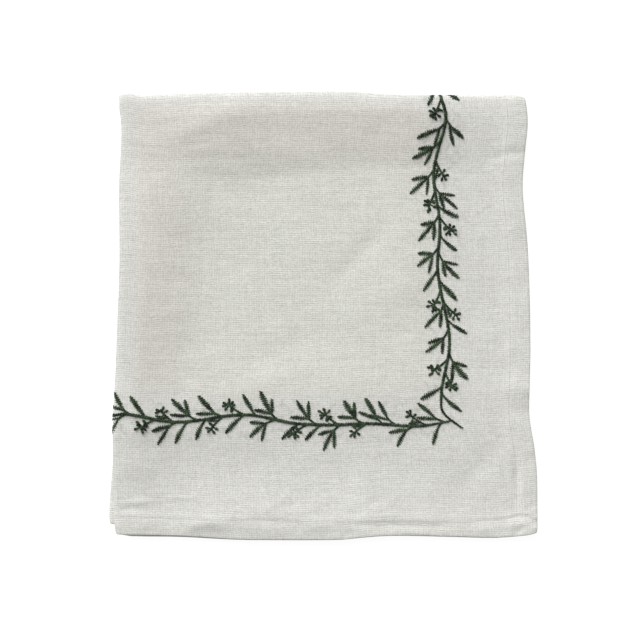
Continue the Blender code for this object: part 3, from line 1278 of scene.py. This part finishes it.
SPRIGS: Mapping[SprigKind, Sprig] = {
    SprigKind.FAN: Sprig(
        6.4, 23.0, 22.0,
        leaves=(
            LeafSpot(1.0, 4.0, 11.6, 3.3), LeafSpot(0.86, -36.0, 9.4, 2.8), LeafSpot(0.78, 38.0, 8.8, 2.9),
        ),
    ),
    SprigKind.PAIR: Sprig(
        5.4, 22.0, 22.0, leaves=(LeafSpot(1.0, 12.0, 11.0, 3.1), LeafSpot(0.76, -28.0, 10.2, 2.8))
    ),
    SprigKind.LEAF: Sprig(3.0, 27.0, 16.0, leaves=(LeafSpot(1.0, 2.0, 10.6, 3.2),)),
    SprigKind.BERRIES: Sprig(
        8.6, 28.0, 20.0,
        berries=(
            BerrySpot(1.0, -6.0, 2.7), BerrySpot(1.0, -44.0, 2.0), BerrySpot(1.0, 38.0, 2.2),
            BerrySpot(0.98, -92.0, 2.3), BerrySpot(0.98, 84.0, 1.8), BerrySpot(0.96, 136.0, 1.3),
            BerrySpot(0.92, -136.0, 1.1), BerrySpot(1.0, 12.0, 0.3), BerrySpot(0.66, -72.0, 1.2),
        ),
    ),
    SprigKind.BUDS: Sprig(
        8.6, 28.0, 20.0,
        leaves=(LeafSpot(0.40, -38.0, 6.4, 2.5),),
        berries=(
            BerrySpot(1.0, -10.0, 2.1), BerrySpot(1.0, -66.0, 1.5), BerrySpot(1.0, 50.0, 1.4),
            BerrySpot(0.90, 104.0, 1.3), BerrySpot(0.82, -88.0, 1.4), BerrySpot(0.94, 10.0, 0.2),
        ),
    ),
}
FAN, PAIR, LEAF, BERRIES, BUDS = SprigKind


class Row(NamedTuple):
    """What grows on one side of a stem, which comes again and again."""

    sprigs: tuple[tuple[float, SprigKind], ...]  # where each leaves the stem, and its kind
    repeat: float = 177.0

    def places(self, length: float) -> Iterator[tuple[float, SprigKind]]:
        """Repeats the row along a stem.

        Args:
            length: The stem's length.

        Yields:
            Where each sprig leaves the stem, and its kind.
        """
        for turn in range(int(length / self.repeat) + 1):
            for place, kind in self.sprigs:
                if place + turn * self.repeat < length:
                    yield place + turn * self.repeat, kind


SIDE_LEFT = Row((
    (-4, LEAF), (13, PAIR), (35, BUDS), (49.5, FAN), (60, LEAF), (66.5, BERRIES), (75.5, LEAF), (85, FAN),
    (100, LEAF), (112.5, BUDS), (121, LEAF), (139, FAN), (150, BERRIES), (161, LEAF),
))
SIDE_RIGHT = Row((
    (1, BERRIES), (14.5, PAIR), (25, FAN), (39.5, FAN), (52.5, BERRIES), (63.5, FAN), (82, FAN),
    (95, LEAF), (105, BERRIES), (112.5, PAIR), (126, FAN), (143, BERRIES), (157, LEAF), (171.5, LEAF),
))
FRONT_LEFT = Row((
    (0, LEAF), (15.5, PAIR), (39, BUDS), (53, FAN), (65, LEAF), (71.5, BERRIES), (76.5, LEAF), (88, FAN),
    (105, LEAF), (116.5, BUDS), (125, LEAF), (135, LEAF), (142.5, PAIR), (153.5, BERRIES), (168, PAIR),
))
FRONT_RIGHT = Row((
    (-3, PAIR), (7.5, BUDS), (24, PAIR), (30, PAIR), (42.5, FAN), (54.5, BERRIES), (67, FAN), (87.5, FAN),
    (99.5, LEAF), (106, BERRIES), (117, PAIR), (130.5, FAN), (144, BUDS), (158, LEAF), (167, PAIR),
))

# How far the stems bend from their lines, towards their left sides.
SIDE_WAVE = Wander((
    (-5, 0), (18, 2.2), (48, -2), (78, 2), (108, -2.2), (142, 2), (162, -1.2), (177, 0.6), (189, 2.5),
    (216, -1.9), (245, 0.3), (272, -2.3), (310, 3.8), (337, 0.2), (354, 0.4),
))
FRONT_WAVE = Wander((
    (-5, 0.2), (13, 3.3), (40, 1.9), (77, 0.8), (106, -4), (142, 1.2), (169, -2.8), (182, 0),
))


# A stem's stitches wind round it as a rope's strands do, and a leaf's spread from its rib.
STEM_STITCHES = StitchLie(turn=50.0, spacing=1.15, rise=1.5, notch=0.2)
BRANCHLET_STITCHES = StitchLie(turn=46.0, spacing=1.05, rise=1.2, notch=0.2)
LEAF_STITCHES = StitchLie(turn=56.0, spacing=1.0, rise=1.3, notch=0.46)
STALK_STITCHES = StitchLie(turn=36.0, spacing=1.0, rise=0.8)
KNOT_STITCHES = StitchLie(turn=78.0, spacing=0.72, rise=1.6, notch=0.05)


class Chances(NamedTuple):
    """How unevenly sprigs grow: the least and the most, in degrees or as a share of the usual."""

    lean: tuple[float, float] = (-4.0, 5.0)
    bow: tuple[float, float] = (0.7, 1.2)
    branchlet: tuple[float, float] = (0.92, 1.14)
    leaf_turn: tuple[float, float] = (-5.0, 5.0)
    leaf_length: tuple[float, float] = (0.86, 1.14)
    leaf_bow: tuple[float, float] = (-6.0, 16.0)
    leaf_breadth: tuple[float, float] = (0.86, 1.2)
    berry_turn: tuple[float, float] = (-16.0, 16.0)
    stalk: tuple[float, float] = (0.7, 1.25)
    place: tuple[float, float] = (-0.8, 0.8)  # mm along the stem


@dataclass
class BorderRun:
    """One straight run of the border: a wavy stem with sprigs on both sides, grown from its start."""

    start: tuple[float, float]  # on the flat cloth
    heading: float  # degrees from the cloth's own direction across
    length: float
    seed: int
    guides: ThreadGuides
    left: Row
    right: Row
    wave: Wander
    chances: Chances = Chances()
    stem_width: float = 2.3
    branchlet_width: float = 1.6
    branchlet_points: int = 21
    stalk_width: float = 1.1
    knot: float = 1.5  # length of a berry's satin stitching
    knot_width: float = 1.95
    before: float = 4.6  # how far the run sets out before the last run's line
    past: float = 3.6  # how far it goes past the next run's line
    bare: float = 6.0  # at the end, where no sprig grows
    tail: float = 13.5  # how far the end would bend outwards, if it went on to tail_to
    tail_from: float = 9.0  # before the next run's line
    tail_to: float = 8.0  # past it

    def stem(self, along: Places) -> Places:
        """Points of the stem.

        Args:
            along: Distances from the run's start.

        Returns:
            Points on the flat cloth, one row each.
        """
        turned = smooth_step(self.length - self.tail_from, self.length + self.tail_to, along)
        side = self.wave.at(along) + self.tail * turned**1.5
        angle = math.radians(self.heading)
        forward = np.array([math.cos(angle), math.sin(angle)])
        left = np.array([-forward[1], forward[0]])
        return np.array(self.start) + along[:, None] * forward + side[:, None] * left

    def direction(self, along: float) -> float:
        """The stem's direction at a place, in radians."""
        a, b = self.stem(np.array([along - 0.5, along + 0.5]))
        return math.atan2(b[1] - a[1], b[0] - a[0])

    @staticmethod
    def bowed(start: Places, angle: float, length: float, bow: float, count: int) -> Places:
        """Draws a bowed line.

        Args:
            start: Its first point.
            angle: The direction in which it sets out, in radians.
            length: Its length.
            bow: How much it turns over its length, in radians.
            count: How many points it has.

        Returns:
            The points, one row each.
        """
        angles = angle + bow * np.linspace(0, 1, count)
        steps = np.stack([np.cos(angles), np.sin(angles)], axis=1) * length / (count - 1)
        return np.concatenate([[start], start + np.cumsum(steps[:-1], axis=0)])

    def add_leaf(self, start: Places, angle: float, length: float, breadth: float, bow: float) -> None:
        """Adds a slender leaf of slanting stitches, whose uneven lengths give it a toothed edge.

        Args:
            start: Where it grows.
            angle: The direction in which it sets out, in radians.
            length: Its length.
            breadth: Its greatest breadth.
            bow: How much it turns over its length, in radians.
        """
        t = np.linspace(0, 1, 11)
        # About half its breadth at its root and at its tip.
        outline = 0.55 + 0.45 * smooth_step(0.0, 0.45, t)
        outline = outline * (1 - 0.45 * smooth_step(0.76, 1.0, t))
        self.guides.add(self.bowed(start, angle, length, bow, len(t)), breadth * outline, LEAF_STITCHES)

    def add_berry(self, start: Places, angle: float, stalk: float) -> None:
        """Adds a round knot of satin stitch at the end of a short stalk.

        Args:
            start: Where the stalk grows.
            angle: Its direction, in radians.
            stalk: Its length.
        """
        line = self.bowed(start, angle, stalk, 0.0, 3)
        self.guides.add(line, self.stalk_width, STALK_STITCHES)
        knot = self.bowed(line[-1], angle, self.knot, 0.0, 4)
        self.guides.add(knot, self.knot_width * np.array([0.7, 1.0, 1.0, 0.75]), KNOT_STITCHES)

    def add_sprig(self, along: float, side: int, kind: SprigKind, random: np.random.Generator) -> None:
        """Adds a branchlet with what it bears.

        Args:
            along: Where it leaves the stem.
            side: 1 for the run's left side, -1 for its right.
            kind: What it is.
            random: The source of its unevenness.
        """
        sprig, chances, last = SPRIGS[kind], self.chances, self.branchlet_points - 1
        start = self.stem(np.array([along]))[0]
        base = self.direction(along) + side * math.radians(sprig.lean + random.uniform(*chances.lean))
        bow = side * math.radians(sprig.bow * random.uniform(*chances.bow))
        reach = sprig.branchlet * random.uniform(*chances.branchlet)
        branchlet = self.bowed(start, base, reach, bow, self.branchlet_points)
        self.guides.add(branchlet, self.branchlet_width, BRANCHLET_STITCHES)
        for leaf in sprig.leaves:
            turn = math.radians(leaf.turn + random.uniform(*chances.leaf_turn))
            length = leaf.length * random.uniform(*chances.leaf_length)
            bend = side * math.radians(random.uniform(*chances.leaf_bow))
            breadth = leaf.breadth * random.uniform(*chances.leaf_breadth)
            angle = base + bow * leaf.share + side * turn
            self.add_leaf(branchlet[round(leaf.share * last)], angle, length, breadth, bend)
        for berry in sprig.berries:
            turn = math.radians(berry.turn + random.uniform(*chances.berry_turn))
            stalk = berry.stalk * random.uniform(*chances.stalk)
            angle = base + bow * berry.share + side * turn
            self.add_berry(branchlet[round(berry.share * last)], angle, stalk)

    def grow(self) -> None:
        """Draws the whole run."""
        random = np.random.default_rng(self.seed)
        for side, row in ((1, self.left), (-1, self.right)):
            for along, kind in row.places(self.length - self.bare):
                self.add_sprig(along + random.uniform(*self.chances.place), side, kind, random)
        along = np.linspace(-self.before, self.length + self.past, int(self.length / 2))
        # The stem is thinner at both its ends.
        thin = 1 - 0.25 * smooth_step(self.length - 24.0, self.length, along)
        thin = thin * (1 - 0.3 * smooth_step(14.0, -2.0, along))
        self.guides.add(self.stem(along), self.stem_width * thin, STEM_STITCHES)


@dataclass
class LeafBorder:
    """The embroidered border: runs that turn clockwise round the cloth. Only what can be seen is stitched."""

    shape: FoldedShape
    threads: LaidThreads
    from_side: float = 47.6  # of the run along a side edge
    from_foot: float = 63.0  # of the run along the bottom edge
    # Stranded floss is about half a millimetre thick, and its stitches lie side by side.
    thread: ThreadSizes = ThreadSizes(pitch=0.58, width=0.6, arch=0.42, raggedness=0.18, seed=5)
    hidden_past: float = 10.0  # behind the left crease, where the layers hide the stitches

    def lines(self) -> tuple[float, float]:
        """How far the border's lines lie from the creases, across and along."""
        return self.shape.half_width - self.from_side, self.shape.half_length - self.from_foot

    def runs(self) -> dict[str, BorderRun]:
        """Plans the runs that show: along the side, and along the bottom edge above and below.

        Returns:
            The runs, by their pieces' names.
        """
        side, foot = self.lines()
        front = side + self.hidden_past
        plans = {
            "border_side": ((side, foot), -90.0, 2 * foot, 5, SIDE_LEFT, SIDE_RIGHT, SIDE_WAVE),
            "border_front": ((side, -foot), 180.0, front, 8, FRONT_LEFT, FRONT_RIGHT, FRONT_WAVE),
            "border_under": ((-self.hidden_past, foot), 0.0, front, 9, FRONT_LEFT, FRONT_RIGHT, FRONT_WAVE),
        }
        return {
            name: BorderRun(start, heading, length, seed, ThreadGuides(self.thread.width), left, right, wave)
            for name, (start, heading, length, seed, left, right, wave) in plans.items()
        }

    def make(self, finish: Material) -> list[Object]:
        """Stitches each run.

        Args:
            finish: The floss's material.

        Returns:
            One piece for each run.
        """
        pieces = []
        for name, run in self.runs().items():
            run.grow()
            mesh = self.threads.lay(name, run.guides, self.shape, self.thread, finish)
            pieces.append(new_piece(mesh))
        return pieces


@dataclass
class HemStitching:
    """The running stitches that hold the hem down, on the right side of the quarters that show."""

    shape: FoldedShape
    threads: LaidThreads
    thread: ThreadSizes = ThreadSizes(pitch=1.7, width=0.25, arch=0.06, raggedness=0.1, seed=3)
    stitch: float = 1.2  # length of one
    slant: float = 8.0  # degrees
    inset: float = 0.9  # outwards from the hem's turned edge
    points: tuple[int, int] = (120, 240)  # of the lines across and along

    def guides(self) -> ThreadGuides:
        """Draws the seams' lines on the flat cloth.

        Returns:
            The lines.
        """
        shape, guides = self.shape, ThreadGuides(self.thread.width)
        in_from_edge = shape.hem - self.inset
        side, foot = shape.half_width - in_from_edge, shape.half_length - in_from_edge
        across = np.linspace(0.0, side, self.points[0])
        along = np.linspace(-foot, foot, self.points[1])
        seam = shape.half_length - shape.bottom_seam.at(across)
        lines = (
            np.stack([np.full_like(along, side), along], axis=1),
            np.stack([across, -seam], axis=1),
            np.stack([across, np.full_like(across, foot)], axis=1),
        )
        width = self.thread.width + self.stitch * math.sin(math.radians(self.slant))
        for line in lines:
            guides.add(line, width, StitchLie(self.slant))
        return guides

    def make(self, finish: Material) -> Object:
        """Sews the seams."""
        mesh = self.threads.lay("hem_stitching", self.guides(), self.shape, self.thread, finish)
        return new_piece(mesh)


# ---------------------------------------------------------------- studio


@dataclass
class Studio:
    """A plain white floor, soft low light from the upper left and a camera straight above."""

    lens: float = 85.0
    sensor: float = 36.0
    frame_width: float = 345.6  # mm that the view's width takes in, at the cloth's top
    aim: tuple[float, float] = (-1.7, -2.1)  # mm: the view's middle, from the napkin's
    # The light's height sets how much the folds show: it is low, and broad enough for soft shade.
    light_from: tuple[float, float] = (-0.5, 0.87)
    light_height: float = 36.0  # degrees
    light_breadth: float = 50.0  # degrees
    light: float = 3.55
    fill: float = 0.33
    floor_half: float = 3.0  # metres from the floor's middle to its sides
    floor_glow: float = 0.90  # a white floor lit from under itself, so that it takes little shadow

    def make_floor(self) -> None:
        """Lays the floor."""
        corner_signs = np.array([(-1, -1, 0), (1, -1, 0), (1, 1, 0), (-1, 1, 0)])
        mesh = new_mesh("floor", self.floor_half * corner_signs, [(0, 1, 2, 3)])
        glow = {"Emission Color": (1.0, 1.0, 1.0, 1.0), "Emission Strength": self.floor_glow}
        matt = {"Base Color": srgb("#8C8C8C"), "Roughness": 1.0, "Specular IOR Level": 0.0}
        material, _ = new_finish("floor", {**matt, **glow})
        mesh.materials.append(material)
        floor = new_object("floor", mesh)
        floor.visible_diffuse = False  # its glow would wash out the hems' shaded edges
        floor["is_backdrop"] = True

    def make_lights(self) -> None:
        """Hangs one broad soft light at the upper left, and fills from all round."""
        lamp = bpy.data.lights.new("key", "SUN")
        lamp.energy = self.light
        lamp.angle = math.radians(self.light_breadth)
        slope = math.tan(math.radians(self.light_height)) * math.hypot(*self.light_from)
        turned = Vector((*self.light_from, slope)).to_track_quat("Z", "Y")
        new_object("key", lamp).rotation_euler = turned.to_euler()
        world = bpy.data.worlds.new("studio")
        world.use_nodes = True
        background = world.node_tree.nodes["Background"]
        background.inputs["Color"].default_value = (1.0, 1.0, 1.0, 1.0)
        background.inputs["Strength"].default_value = self.fill
        bpy.context.scene.world = world

    def make_camera(self, top: float) -> None:
        """Puts the camera straight above the napkin.

        Args:
            top: Height of the cloth's top, in metres.
        """
        data = bpy.data.cameras.new("camera")
        data.lens = self.lens
        data.sensor_width = self.sensor
        camera = new_object("camera", data)
        distance = self.frame_width * MM * self.lens / self.sensor
        camera.location = (self.aim[0] * MM, self.aim[1] * MM, top + distance)
        bpy.context.scene.camera = camera
        bpy.context.scene.view_settings.view_transform = "Standard"


def corners(box: Sequence[Sequence[float]]) -> list[list[float]]:
    """A box's corners as plain lists of numbers."""
    return [[float(x) for x in corner] for corner in box]


def main() -> None:
    """Makes the napkin's pieces in order, then the studio."""
    logging.basicConfig(level=logging.INFO, format="%(name)s: %(message)s")
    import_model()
    cad_box = corners(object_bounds())
    shape = FoldedShape()
    shape.settle(*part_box("napkin"))
    threads = LaidThreads()
    border = LeafBorder(shape, threads)
    cloth = LinenCloth(shape).make(WashedLinen().build(border.lines()))
    sprigs = border.make(EMBROIDERY_FLOSS.build())
    stitching = HemStitching(shape, threads).make(SEWING_THREAD.build())
    studio = Studio()
    studio.make_floor()
    studio.make_lights()
    studio.make_camera(cad_box[1][2])


if __name__ == "__main__":
    main()
